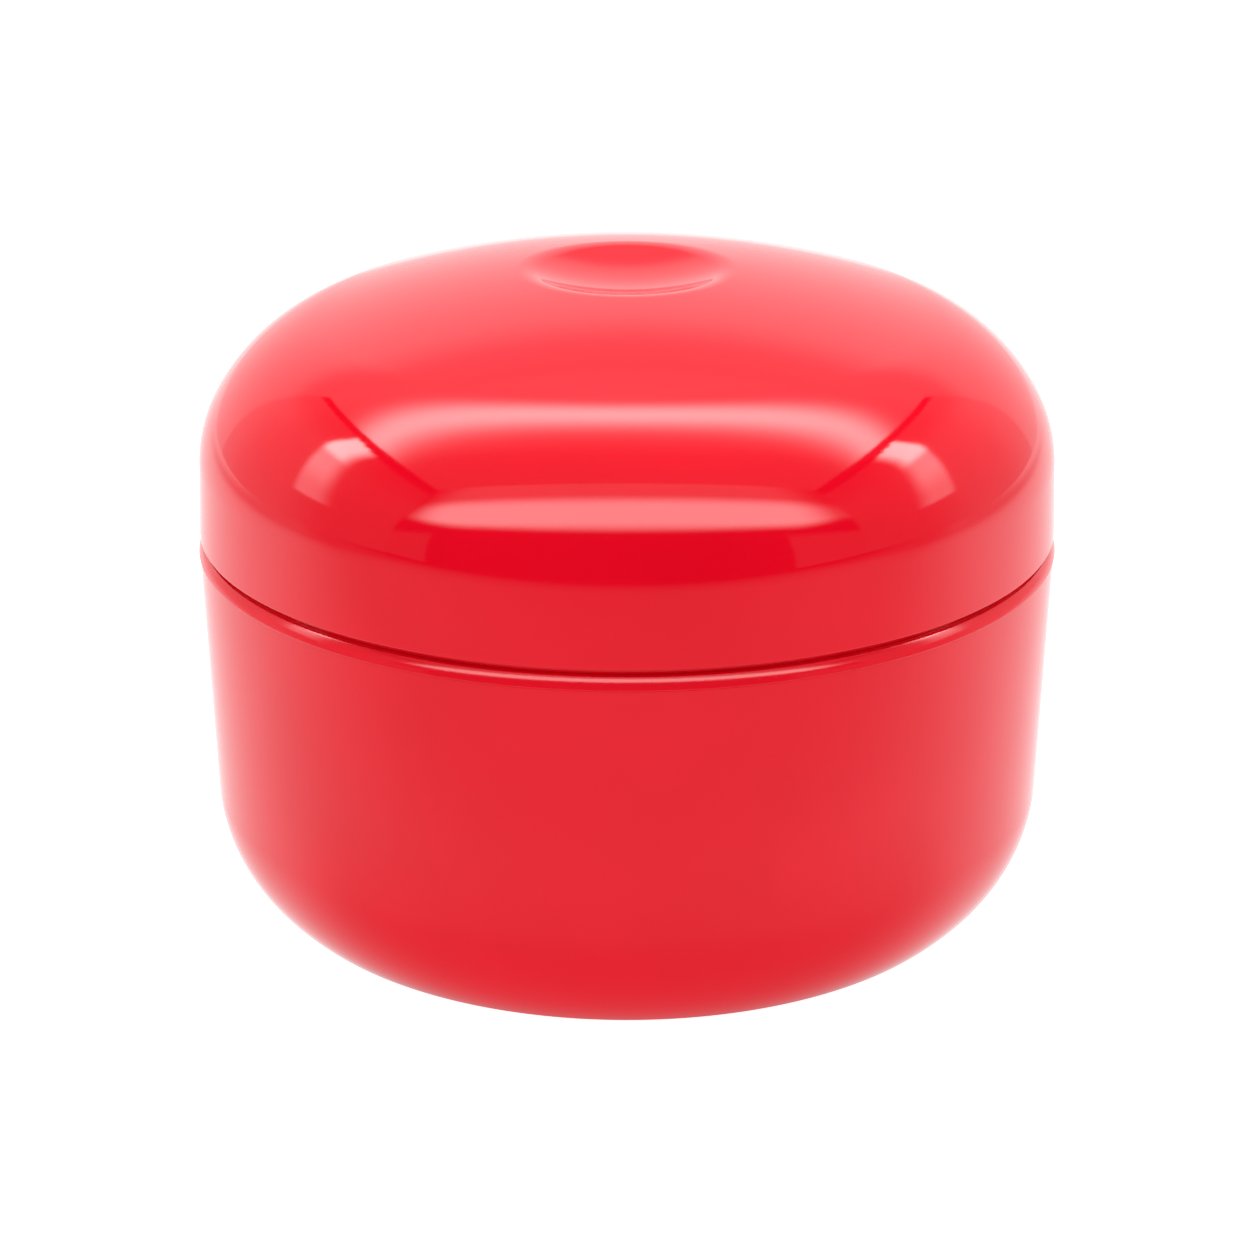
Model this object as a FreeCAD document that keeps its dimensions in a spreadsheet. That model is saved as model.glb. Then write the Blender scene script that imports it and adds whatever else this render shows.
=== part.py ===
"""A round, double-walled plastic ice bucket with a domed lid that lifts off.

The outer shell and the liner are two mouldings joined under the liner's rim, with foam between
them. The lid is a dome closed underneath by a pan that plugs the mouth, with a foam disc in it. A
perforated grid stands on the liner's floor and keeps the ice above its meltwater.

Millimetres, +Z up. The origin is the centre of the foot, on the surface the bucket stands on.
"""
import FreeCAD, Part
import math
import os

import Sketcher

doc = FreeCAD.newDocument("ice_bucket")

# ---------------------------------------------------------------- driving dimensions
# alias, value, what it measures (mm, or degrees where it says so)
DIMENSIONS = [
    ("rim_dia", 200.0, "outside diameter of the liner's rim, the widest place"),
    ("rim_height", 88.05, "top of the rim above the foot"),
    ("rim_thick", 2.9, "thickness of the rim"),
    ("rim_face", 4.9, "radius of the rim's rounded outer face"),
    ("rim_lean", 10.5, "how far the foot of that face leans in, degrees"),
    ("rim_top_round", 0.3, "radius of the rim's upper outer edge"),
    ("rim_low_round", 0.3, "radius of the rim's lower outer edge"),
    ("mouth_round", 1.2, "radius of the edge round the mouth"),
    ("shell_inset", 0.25, "how far the shell's top stands in from the rim"),
    ("shell_wall", 2.5, "wall of the outer shell"),
    ("body_draft", 1.95, "taper of the body's wall, degrees"),
    ("corner_start", 27.3, "height where the shell's wall turns into its corner"),
    ("corner_radius", 35.2, "outside radius of the body's lower corner"),
    ("foot_edge", 6.0, "outside radius between that corner and the foot"),
    ("foot_width", 5.0, "width of the flat foot ring"),
    ("foot_recess", 0.7, "how far the bottom inside the foot ring is raised"),
    ("gate_dia", 14.0, "diameter of the recess round the moulding gate"),
    ("gate_depth", 0.5, "depth of that recess"),
    ("foam_space", 10.0, "space between the shell and the liner"),
    ("liner_wall", 2.2, "wall of the liner"),
    ("liner_edge", 9.0, "outside radius between the liner's corner and its floor"),
    ("rib_wall", 1.6, "thickness of the locating rib under the rim"),
    ("rib_depth", 3.0, "depth of that rib"),
    ("glue_gap", 0.15, "clearance where one moulding is glued into another"),
    ("foam_gap", 0.3, "clearance beside a foam piece"),
    ("wrap_seam", 0.6, "angle left open where the foam wrap's ends meet, degrees"),
    ("floor_foam_gap", 4.0, "how far the floor foam stands in from the foot's edge"),
    ("lid_inset", 0.35, "how far the lid's skirt stands in from the rim"),
    ("lid_gap", 1.65, "shadow gap between the rim and the skirt"),
    ("lid_wall", 3.0, "wall of the lid's dome"),
    ("lid_draft", 1.9, "taper of the skirt, degrees"),
    ("skirt_height", 16.9, "height of the straight skirt"),
    ("skirt_round", 0.4, "radius of the skirt's lower outer edge"),
    ("shoulder_radius", 29.1, "outside radius of the dome's shoulder"),
    ("shoulder_turn", 26.4, "angle that the shoulder turns through, degrees"),
    ("haunch_radius", 42.4, "outside radius between the shoulder and the crown"),
    ("haunch_turn", 44.1, "angle that the haunch turns through, degrees"),
    ("dish_depth", 5.4, "depth of the thumb dish below the crown's top"),
    ("dish_radius", 64.0, "spherical radius of the thumb dish"),
    ("dish_lip", 11.0, "outside radius of the rounded lip round the dish"),
    ("rebate_wall", 2.3, "wall left outside the rebate that holds the pan"),
    ("pan_flange", 3.2, "thickness of the pan's flange"),
    ("pan_wall", 2.0, "wall and floor of the pan"),
    ("plug_depth", 12.0, "how far the pan reaches into the mouth"),
    ("plug_gap", 0.8, "clearance between the pan and the mouth"),
    ("plug_round", 4.0, "outside radius of the pan's lower edge"),
    ("lid_foam_thick", 8.0, "thickness of the lid's foam disc"),
    ("grid_gap", 1.2, "clearance round the drain grid"),
    ("grid_thick", 2.0, "thickness of the drain grid"),
    ("grid_foot_height", 6.0, "height of the grid's feet"),
    ("grid_foot_dia", 5.0, "diameter of each foot"),
    ("drain_dia", 7.0, "diameter of the drain holes"),
    ("drain_step", 14.0, "distance from one ring of drain holes to the next"),
    ("finger_hole", 22.0, "diameter of the hole for a finger in the grid's middle"),
]
GRID_FEET = 4
DRAIN_RINGS = 4
DRAIN_HOLES_ADDED = 6  # each ring has this many holes more than the ring inside it

sheet = doc.addObject("Spreadsheet::Sheet", "dims")
for row, (alias, size, meaning) in enumerate(DIMENSIONS, start=1):
    sheet.set(f"A{row}", alias)
    sheet.set(f"B{row}", str(size))
    sheet.set(f"C{row}", meaning)
    sheet.setAlias(f"B{row}", alias)
doc.recompute()

# ---------------------------------------------------------------- turned pieces
# Sizes that depend on others are expressions on the sheet, written once as text and used both to
# place a sketch's corners and to drive its constraints.
LEFT, RIGHT = 1, -1
AXIS = "0"


def value(expression):
    """What an expression on the sheet comes to."""
    return float(sheet.evalExpression(expression))


def new_body(label):
    """An empty body."""
    body = doc.addObject("PartDesign::Body", label)
    body.Label = label
    return body


def plane_sketch(body, name, role):
    """A sketch on one of a body's own origin planes."""
    sketch = body.newObject("Sketcher::SketchObject", name)
    plane = next(feature for feature in body.Origin.OriginFeatures if feature.Role == role)
    sketch.AttachmentSupport = [(plane, "")]
    sketch.MapMode = "FlatFace"
    return sketch


def drive(sketch, name, expression, *constraint):
    """A constraint of a sketch whose value the sheet drives."""
    number = sketch.addConstraint(Sketcher.Constraint(*constraint, value(expression)))
    sketch.renameConstraint(number, name)
    sketch.setExpression(f".Constraints.{name}", expression)


def draw_segment(sketch, start, end, bend):
    """A straight line, or an arc with its radius and the side its centre is on. Returns where it starts."""
    if bend is None:
        sketch.addGeometry(Part.LineSegment(start, end), False)
        return 1
    radius, side = value(bend[0]), bend[1]
    chord = end - start
    across = FreeCAD.Vector(-chord.y, chord.x, 0).normalize()
    reach = math.sqrt(radius**2 - (chord.Length / 2) ** 2)
    centre = (start + end) / 2 + across * reach * side
    first, last = (start, end) if side == LEFT else (end, start)
    circle = Part.Circle(centre, FreeCAD.Vector(0, 0, 1), radius)
    angles = [math.atan2(point.y - centre.y, point.x - centre.x) for point in (first, last)]
    sketch.addGeometry(Part.ArcOfCircle(circle, *angles), False)
    return 1 if side == LEFT else 2


def turned(body, outline, angle="360"):
    """Turns a closed half-section about Z.

    Each corner of the outline is (radius, height), or (radius, height, bend) where an arc leads to
    it, and every corner is pinned to its two expressions.
    """
    sketch = plane_sketch(body, "half_section", "XZ_Plane")
    points = [FreeCAD.Vector(value(corner[0]), value(corner[1]), 0) for corner in outline]
    starts = []
    for number, corner in enumerate(outline):
        bend = corner[2] if len(corner) == 3 else None
        starts.append(draw_segment(sketch, points[number - 1], points[number], bend))
        if bend:
            drive(sketch, f"bend_{number}", bend[0], "Radius", number)
    for number, corner in enumerate(outline):
        following = (number + 1) % len(outline)
        end = 3 - starts[number]
        sketch.addConstraint(Sketcher.Constraint("Coincident", number, end, following, starts[following]))
        if corner[0] == AXIS:
            sketch.addConstraint(Sketcher.Constraint("PointOnObject", number, end, -2))
        else:
            drive(sketch, f"radius_{number}", corner[0], "DistanceX", -1, 1, number, end)
        if corner[1] == "0":
            sketch.addConstraint(Sketcher.Constraint("PointOnObject", number, end, -1))
        else:
            drive(sketch, f"height_{number}", corner[1], "DistanceY", -1, 1, number, end)
    turn = body.newObject("PartDesign::Revolution", "turn")
    turn.Profile = sketch
    turn.ReferenceAxis = (sketch, ["V_Axis"])
    turn.setExpression("Angle", angle)
    doc.recompute()
    if not sketch.FullyConstrained:
        raise ValueError(f"the half-section of {body.Label} is loose")
    return turn


def round_edge(body, name, corner, radius):
    """Rounds the circular edge of a body that runs through a corner of its half-section."""
    near = 0.01
    ring, height = value(corner[0]), value(corner[1])
    base, names = body.Tip, []
    for number, edge in enumerate(base.Shape.Edges, start=1):
        if edge.Degenerated or not isinstance(edge.Curve, Part.Circle):
            continue
        off = max(abs(edge.Curve.Radius - ring), abs(edge.Curve.Center.z - height))
        if abs(edge.Curve.Axis.z) > 0.99 and off < near:
            names.append(f"Edge{number}")
    if not names:
        raise ValueError(f"{body.Label} has no edge of radius {ring:.2f} at height {height:.2f}")
    blend = body.newObject("PartDesign::Fillet", name)
    blend.Base = (base, names)
    blend.setExpression("Radius", radius)
    body.Tip = blend
    doc.recompute()


# ---------------------------------------------------------------- the cup shape
# Shell, liner and foam wrap share one shape: a tapered wall, an arc about a common centre and a
# flat floor. A face of it is the shell's outside moved inwards by an inset.
SHELL_TOP = "(dims.rim_height - dims.rim_thick)"
SHELL_TOP_RADIUS = "(dims.rim_dia / 2 - dims.shell_inset)"
CORNER_RADIUS_AT = (
    f"({SHELL_TOP_RADIUS} - ({SHELL_TOP} - dims.corner_start) * tan(dims.body_draft)"
    " - dims.corner_radius * cos(dims.body_draft))"
)
CORNER_HEIGHT_AT = "(dims.corner_start + dims.corner_radius * sin(dims.body_draft))"


def wall_at(inset, height):
    """A corner on the straight wall at this height."""
    lean = f"({SHELL_TOP} - {height}) * tan(dims.body_draft)"
    return (f"({SHELL_TOP_RADIUS} - {inset} / cos(dims.body_draft) - {lean})", height)


def bend_at(inset):
    """The corner where the wall turns into the lower arc."""
    reach = f"(dims.corner_radius - {inset})"
    return (
        f"({CORNER_RADIUS_AT} + {reach} * cos(dims.body_draft))",
        f"({CORNER_HEIGHT_AT} - {reach} * sin(dims.body_draft))",
    )


def arc_radius_at(inset, height):
    """The radius from Z of the lower arc at this height."""
    reach = f"(dims.corner_radius - {inset})"
    return f"({CORNER_RADIUS_AT} + sqrt({reach}^2 - ({CORNER_HEIGHT_AT} - {height})^2))"


def floor_corner(inset, height):
    """The sharp corner of the lower arc with a floor at this height, with the arc that leads to it."""
    return (arc_radius_at(inset, height), height, (f"(dims.corner_radius - {inset})", RIGHT))


def flat_radius(inset, floor, rounding):
    """The radius of the flat left on a floor once its corner has this outside rounding."""
    reach = f"(dims.corner_radius - {inset} - {rounding})"
    return f"({CORNER_RADIUS_AT} + sqrt({reach}^2 - ({CORNER_HEIGHT_AT} - {floor} - {rounding})^2))"


# ---------------------------------------------------------------- outer shell
SHELL_INNER_EDGE = "(dims.foot_edge - dims.shell_wall)"
FOOT_FLAT = flat_radius("0", "0", "dims.foot_edge")
FOOT_INNER = f"({FOOT_FLAT} - dims.foot_width)"
GATE_TOP = "(dims.foot_recess + dims.gate_depth)"

outer_shell = new_body("outer_shell")
turned(outer_shell, [
    wall_at("0", SHELL_TOP),
    bend_at("0"),
    floor_corner("0", "0"),
    (FOOT_INNER, "0"),
    (FOOT_INNER, "dims.foot_recess"),
    ("dims.gate_dia / 2", "dims.foot_recess"),
    ("dims.gate_dia / 2", GATE_TOP),
    (AXIS, GATE_TOP),
    (AXIS, "dims.shell_wall"),
    (arc_radius_at("dims.shell_wall", "dims.shell_wall"), "dims.shell_wall"),
    (*bend_at("dims.shell_wall"), ("(dims.corner_radius - dims.shell_wall)", LEFT)),
    wall_at("dims.shell_wall", SHELL_TOP),
])
SHELL_FLOOR_CORNER = floor_corner("dims.shell_wall", "dims.shell_wall")
round_edge(outer_shell, "foot_rounding", floor_corner("0", "0"), "dims.foot_edge")
round_edge(outer_shell, "inner_rounding", SHELL_FLOOR_CORNER, SHELL_INNER_EDGE)

# ---------------------------------------------------------------- liner
# The flange of the liner is the bucket's rim. It is widest at its small lower edge, and its rounded
# face leans in from there. Its underside sits on the shell's top edge, and the rib under it drops
# just inside the shell's wall, where it is glued.
LINER_OUT = "(dims.shell_wall + dims.foam_space)"
LINER_IN = f"({LINER_OUT} + dims.liner_wall)"
LINER_INNER_EDGE = "(dims.liner_edge - dims.liner_wall)"
RIB_FOOT = f"({SHELL_TOP} - dims.rib_depth)"
RIB_OUTER = wall_at("(dims.shell_wall + dims.glue_gap)", RIB_FOOT)[0]
RIB_INNER = f"({RIB_OUTER} - dims.rib_wall)"
MOUTH = wall_at(LINER_IN, "dims.rim_height")
FACE_FOOT_RADIUS = "(dims.rim_dia / 2 - dims.rim_low_round * (1 - cos(dims.rim_lean)))"
FACE_FOOT_HEIGHT = f"({SHELL_TOP} + dims.rim_low_round * (1 + sin(dims.rim_lean)))"
FACE_RISE = f"(dims.rim_height - {FACE_FOOT_HEIGHT} + dims.rim_face * sin(dims.rim_lean))"
FACE_REACH = f"(dims.rim_face * cos(dims.rim_lean) - sqrt(dims.rim_face^2 - {FACE_RISE}^2))"
RIM_TOP_RADIUS = f"({FACE_FOOT_RADIUS} - {FACE_REACH})"

liner = new_body("liner")
turned(liner, [
    (RIM_TOP_RADIUS, "dims.rim_height"),
    (FACE_FOOT_RADIUS, FACE_FOOT_HEIGHT, ("dims.rim_face", RIGHT)),
    ("(dims.rim_dia / 2 - dims.rim_low_round)", SHELL_TOP, ("dims.rim_low_round", RIGHT)),
    (RIB_OUTER, SHELL_TOP),
    (RIB_OUTER, RIB_FOOT),
    (RIB_INNER, RIB_FOOT),
    (RIB_INNER, SHELL_TOP),
    wall_at(LINER_OUT, SHELL_TOP),
    bend_at(LINER_OUT),
    floor_corner(LINER_OUT, LINER_OUT),
    (AXIS, LINER_OUT),
    (AXIS, LINER_IN),
    (arc_radius_at(LINER_IN, LINER_IN), LINER_IN),
    (*bend_at(LINER_IN), (f"(dims.corner_radius - {LINER_IN})", LEFT)),
    MOUTH,
])
round_edge(liner, "floor_rounding", floor_corner(LINER_OUT, LINER_OUT), "dims.liner_edge")
round_edge(liner, "inner_floor_rounding", floor_corner(LINER_IN, LINER_IN), LINER_INNER_EDGE)
round_edge(liner, "mouth_rounding", MOUTH, "dims.mouth_round")
round_edge(liner, "rim_top_rounding", (RIM_TOP_RADIUS, "dims.rim_height"), "dims.rim_top_round")

# ---------------------------------------------------------------- foam in the body
WRAP_OUT = "(dims.shell_wall + dims.foam_gap)"
WRAP_IN = f"({LINER_OUT} - dims.foam_gap)"
WRAP_TOP = f"({RIB_FOOT} - dims.foam_gap)"

foam_wrap = new_body("foam_wrap")
turned(foam_wrap, [
    wall_at(WRAP_OUT, WRAP_TOP),
    wall_at(WRAP_OUT, CORNER_HEIGHT_AT),
    wall_at(WRAP_IN, CORNER_HEIGHT_AT),
    wall_at(WRAP_IN, WRAP_TOP),
], angle="360 - dims.wrap_seam")

foam_floor = new_body("foam_floor")
FLOOR_FOAM = f"({FOOT_FLAT} - dims.floor_foam_gap)"
FLOOR_FOAM_TOP = f"({LINER_OUT} - dims.foam_gap)"
turned(foam_floor, [
    (FLOOR_FOAM, "dims.shell_wall"),
    (AXIS, "dims.shell_wall"),
    (AXIS, FLOOR_FOAM_TOP),
    (FLOOR_FOAM, FLOOR_FOAM_TOP),
])

# ---------------------------------------------------------------- drain grid
# A flat disc on short feet. Its rings of drain holes stand a step apart from the finger hole out.
GRID_FLOOR = f"({LINER_IN} + dims.grid_foot_height)"
GRID_TOP = f"({GRID_FLOOR} + dims.grid_thick)"
GRID_RADIUS = f"({arc_radius_at(LINER_IN, GRID_FLOOR)} - dims.grid_gap)"
GRID_FOOT_RING = 2.5  # in steps from the finger hole, so the feet stand between two rings of holes


def ring_of(body, name, feature_type, plane, lift, ring, diameter, count):
    """A round pad or pocket repeated round Z. ring and diameter are expressions."""
    sketch = plane_sketch(body, f"{name}_sketch", plane)
    sketch.AttachmentOffset = FreeCAD.Placement(FreeCAD.Vector(0, 0, value(lift)), FreeCAD.Rotation())
    sketch.setExpression("AttachmentOffset.Base.z", lift)
    centre = FreeCAD.Vector(value(ring), 0, 0)
    circle = Part.Circle(centre, FreeCAD.Vector(0, 0, 1), value(diameter) / 2)
    sketch.addGeometry(circle, False)
    sketch.addConstraint(Sketcher.Constraint("PointOnObject", 0, 3, -1))
    drive(sketch, "ring", ring, "DistanceX", -1, 1, 0, 3)
    drive(sketch, "diameter", diameter, "Diameter", 0)
    feature = body.newObject(feature_type, name)
    feature.Profile = sketch
    pattern = body.newObject("PartDesign::PolarPattern", f"{name}_pattern")
    pattern.Originals = [feature]
    pattern.Axis = (sketch, ["N_Axis"])
    pattern.Angle = 360
    pattern.Occurrences = count
    body.Tip = pattern
    return feature


drain_grid = new_body("drain_grid")
turned(drain_grid, [
    (GRID_RADIUS, GRID_FLOOR),
    (GRID_RADIUS, GRID_TOP),
    ("dims.finger_hole / 2", GRID_TOP),
    ("dims.finger_hole / 2", GRID_FLOOR),
])
plain_volume = drain_grid.Shape.Volume
for number in range(1, DRAIN_RINGS + 1):
    ring = f"(dims.finger_hole / 2 + {number} * dims.drain_step)"
    holes = ring_of(drain_grid, f"drain_ring_{number}", "PartDesign::Pocket", "XY_Plane", GRID_TOP, ring,
                    "dims.drain_dia", number * DRAIN_HOLES_ADDED + DRAIN_HOLES_ADDED)
    holes.setExpression("Length", "dims.grid_thick")
    doc.recompute()
    if drain_grid.Shape.Volume > plain_volume - 1:
        raise ValueError("a ring of drain holes cut nothing")
    plain_volume = drain_grid.Shape.Volume
foot_ring = f"(dims.finger_hole / 2 + {GRID_FOOT_RING} * dims.drain_step)"
feet = ring_of(drain_grid, "grid_feet", "PartDesign::Pad", "XY_Plane", LINER_IN, foot_ring,
               "dims.grid_foot_dia", GRID_FEET)
feet.setExpression("Length", "dims.grid_foot_height")
doc.recompute()

# ---------------------------------------------------------------- lid dome
# The outside is a chain of arcs, each tangent to the one before: skirt, shoulder, haunch, and a
# crown centred on Z. The inside is the same chain moved in by the wall.
SKIRT_FOOT = "(dims.rim_height + dims.lid_gap)"
SKIRT_TOP = f"({SKIRT_FOOT} + dims.skirt_height)"
SKIRT_RADIUS = "(dims.rim_dia / 2 - dims.lid_inset)"
SHOULDER_RADIUS = f"({SKIRT_RADIUS} - dims.skirt_height * tan(dims.lid_draft))"
SHOULDER_END = "(dims.lid_draft + dims.shoulder_turn)"
HAUNCH_END = f"({SHOULDER_END} + dims.haunch_turn)"
HAUNCH_RADIUS = f"({SHOULDER_RADIUS} - dims.shoulder_radius * (cos(dims.lid_draft) - cos({SHOULDER_END})))"
HAUNCH_HEIGHT = f"({SKIRT_TOP} + dims.shoulder_radius * (sin({SHOULDER_END}) - sin(dims.lid_draft)))"
CROWN_EDGE_RADIUS = f"({HAUNCH_RADIUS} - dims.haunch_radius * (cos({SHOULDER_END}) - cos({HAUNCH_END})))"
CROWN_EDGE_HEIGHT = f"({HAUNCH_HEIGHT} + dims.haunch_radius * (sin({HAUNCH_END}) - sin({SHOULDER_END})))"
CROWN_RADIUS = f"({CROWN_EDGE_RADIUS} / cos({HAUNCH_END}))"
CROWN_CENTRE = f"({CROWN_EDGE_HEIGHT} - {CROWN_RADIUS} * sin({HAUNCH_END}))"
DISH_CENTRE = f"({CROWN_CENTRE} + {CROWN_RADIUS} - dims.dish_depth + dims.dish_radius)"


def moved_in(radius, height, angle, inset):
    """A corner of the dome moved in along the dome's normal, which leans this angle up from level."""
    return (f"({radius} - {inset} * cos({angle}))", f"({height} - {inset} * sin({angle}))")


def dish_corner(inset):
    """Where the crown and the dish would meet in a sharp ring, on the face this far in."""
    crown, dish = f"({CROWN_RADIUS} - {inset})", f"(dims.dish_radius + {inset})"
    apart = f"({DISH_CENTRE} - {CROWN_CENTRE})"
    height = f"(({apart}^2 + {crown}^2 - {dish}^2) / (2 * {apart}))"
    return (f"sqrt({crown}^2 - {height}^2)", f"({CROWN_CENTRE} + {height})")


def dish_bottom(inset):
    """The lowest point of the dish, on the face this far in."""
    return (AXIS, f"({DISH_CENTRE} - dims.dish_radius - {inset})")


LEDGE = "(dims.rim_height + dims.pan_flange)"
REBATE_RADIUS = f"({SKIRT_RADIUS} - dims.rebate_wall)"
SKIRT_INNER_AT_LEDGE = (
    f"({SKIRT_RADIUS} - ({LEDGE} - {SKIRT_FOOT}) * tan(dims.lid_draft) - dims.lid_wall / cos(dims.lid_draft))"
)

lid_dome = new_body("lid_dome")
turned(lid_dome, [
    (SKIRT_RADIUS, SKIRT_FOOT),
    (SHOULDER_RADIUS, SKIRT_TOP),
    (HAUNCH_RADIUS, HAUNCH_HEIGHT, ("dims.shoulder_radius", LEFT)),
    (CROWN_EDGE_RADIUS, CROWN_EDGE_HEIGHT, ("dims.haunch_radius", LEFT)),
    (*dish_corner("0"), (CROWN_RADIUS, LEFT)),
    (*dish_bottom("0"), ("dims.dish_radius", RIGHT)),
    dish_bottom("dims.lid_wall"),
    (*dish_corner("dims.lid_wall"), ("(dims.dish_radius + dims.lid_wall)", LEFT)),
    (*moved_in(CROWN_EDGE_RADIUS, CROWN_EDGE_HEIGHT, HAUNCH_END, "dims.lid_wall"),
     (f"({CROWN_RADIUS} - dims.lid_wall)", RIGHT)),
    (*moved_in(HAUNCH_RADIUS, HAUNCH_HEIGHT, SHOULDER_END, "dims.lid_wall"),
     ("(dims.haunch_radius - dims.lid_wall)", RIGHT)),
    (*moved_in(SHOULDER_RADIUS, SKIRT_TOP, "dims.lid_draft", "dims.lid_wall"),
     ("(dims.shoulder_radius - dims.lid_wall)", RIGHT)),
    (SKIRT_INNER_AT_LEDGE, LEDGE),
    (REBATE_RADIUS, LEDGE),
    (REBATE_RADIUS, SKIRT_FOOT),
])
round_edge(lid_dome, "dish_lip_rounding", dish_corner("0"), "dims.dish_lip")
round_edge(lid_dome, "inner_lip_rounding", dish_corner("dims.lid_wall"), "(dims.dish_lip - dims.lid_wall)")
round_edge(lid_dome, "skirt_rounding", (SKIRT_RADIUS, SKIRT_FOOT), "dims.skirt_round")

# ---------------------------------------------------------------- lid pan and its foam
# The pan's flange is glued into the dome's rebate and rests on the rim. Its tapered plug fills the
# top of the mouth.
PLUG_FOOT = "(dims.rim_height - dims.plug_depth)"
PLUG_INSET = f"({LINER_IN} + dims.plug_gap)"
PAN_INSET = f"({PLUG_INSET} + dims.pan_wall)"
PAN_RADIUS = f"({REBATE_RADIUS} - dims.glue_gap)"
PAN_FLOOR = f"({PLUG_FOOT} + dims.pan_wall)"

lid_pan = new_body("lid_pan")
turned(lid_pan, [
    (PAN_RADIUS, "dims.rim_height"),
    (PAN_RADIUS, LEDGE),
    wall_at(PAN_INSET, LEDGE),
    wall_at(PAN_INSET, PAN_FLOOR),
    (AXIS, PAN_FLOOR),
    (AXIS, PLUG_FOOT),
    wall_at(PLUG_INSET, PLUG_FOOT),
    wall_at(PLUG_INSET, "dims.rim_height"),
])
round_edge(lid_pan, "plug_rounding", wall_at(PLUG_INSET, PLUG_FOOT), "dims.plug_round")
round_edge(lid_pan, "pan_inner_rounding", wall_at(PAN_INSET, PAN_FLOOR), "(dims.plug_round - dims.pan_wall)")

lid_foam = new_body("lid_foam")
LID_FOAM = f"({wall_at(PAN_INSET, PAN_FLOOR)[0]} - dims.plug_round)"
LID_FOAM_TOP = f"({PAN_FLOOR} + dims.lid_foam_thick)"
turned(lid_foam, [
    (LID_FOAM, PAN_FLOOR),
    (AXIS, PAN_FLOOR),
    (AXIS, LID_FOAM_TOP),
    (LID_FOAM, LID_FOAM_TOP),
])

# ---------------------------------------------------------------- check and write
doc.recompute()
for item in doc.Objects:
    if "Invalid" in item.State or "Error" in item.State:
        raise ValueError(f"{item.Label} failed: {item.State}")
NODES = [outer_shell, liner, foam_wrap, foam_floor, drain_grid, lid_dome, lid_pan, lid_foam]
for node in NODES:
    shape = node.Shape
    if shape.isNull() or not shape.isValid() or len(shape.Solids) != 1:
        raise ValueError(f"{node.Label} is not one sound solid")
os.makedirs("parts", exist_ok=True)
for node in NODES:
    node.Shape.exportStep(f"parts/{node.Label}.step")
    box = node.Shape.optimalBoundingBox()
    print(f"{node.Label}: {node.Shape.Volume / 1000:.1f} cm3, z {box.ZMin:.2f} to {box.ZMax:.2f},"
          f" radius {box.XMax:.2f}")
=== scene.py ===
"""A round, double-walled ice bucket in glossy red plastic, with a domed lid that lifts off."""

import bpy
import numpy as np
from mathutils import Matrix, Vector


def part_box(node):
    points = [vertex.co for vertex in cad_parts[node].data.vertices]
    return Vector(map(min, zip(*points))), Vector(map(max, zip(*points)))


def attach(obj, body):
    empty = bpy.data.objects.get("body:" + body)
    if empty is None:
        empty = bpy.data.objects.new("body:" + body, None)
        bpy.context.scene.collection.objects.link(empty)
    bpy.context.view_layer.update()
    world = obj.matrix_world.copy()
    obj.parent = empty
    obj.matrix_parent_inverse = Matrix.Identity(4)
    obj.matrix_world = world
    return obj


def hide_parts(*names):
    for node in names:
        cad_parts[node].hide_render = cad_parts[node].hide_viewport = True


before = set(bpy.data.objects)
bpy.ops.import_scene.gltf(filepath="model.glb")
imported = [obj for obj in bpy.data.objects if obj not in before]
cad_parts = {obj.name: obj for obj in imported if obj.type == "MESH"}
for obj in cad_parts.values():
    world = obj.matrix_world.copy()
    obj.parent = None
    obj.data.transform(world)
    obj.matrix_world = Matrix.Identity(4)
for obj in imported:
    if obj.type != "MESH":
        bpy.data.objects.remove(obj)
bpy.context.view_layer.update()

MM = 0.001
SEGMENTS = 288  # samples round each turned piece

# ---------------------------------------------------------------- outer shell
# The tapered outside of the body, an injection moulding in glossy red ABS. It is turned about Z,
# with a rounded bottom that ends in a flat foot ring and a gate recess in the middle underneath.


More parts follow.
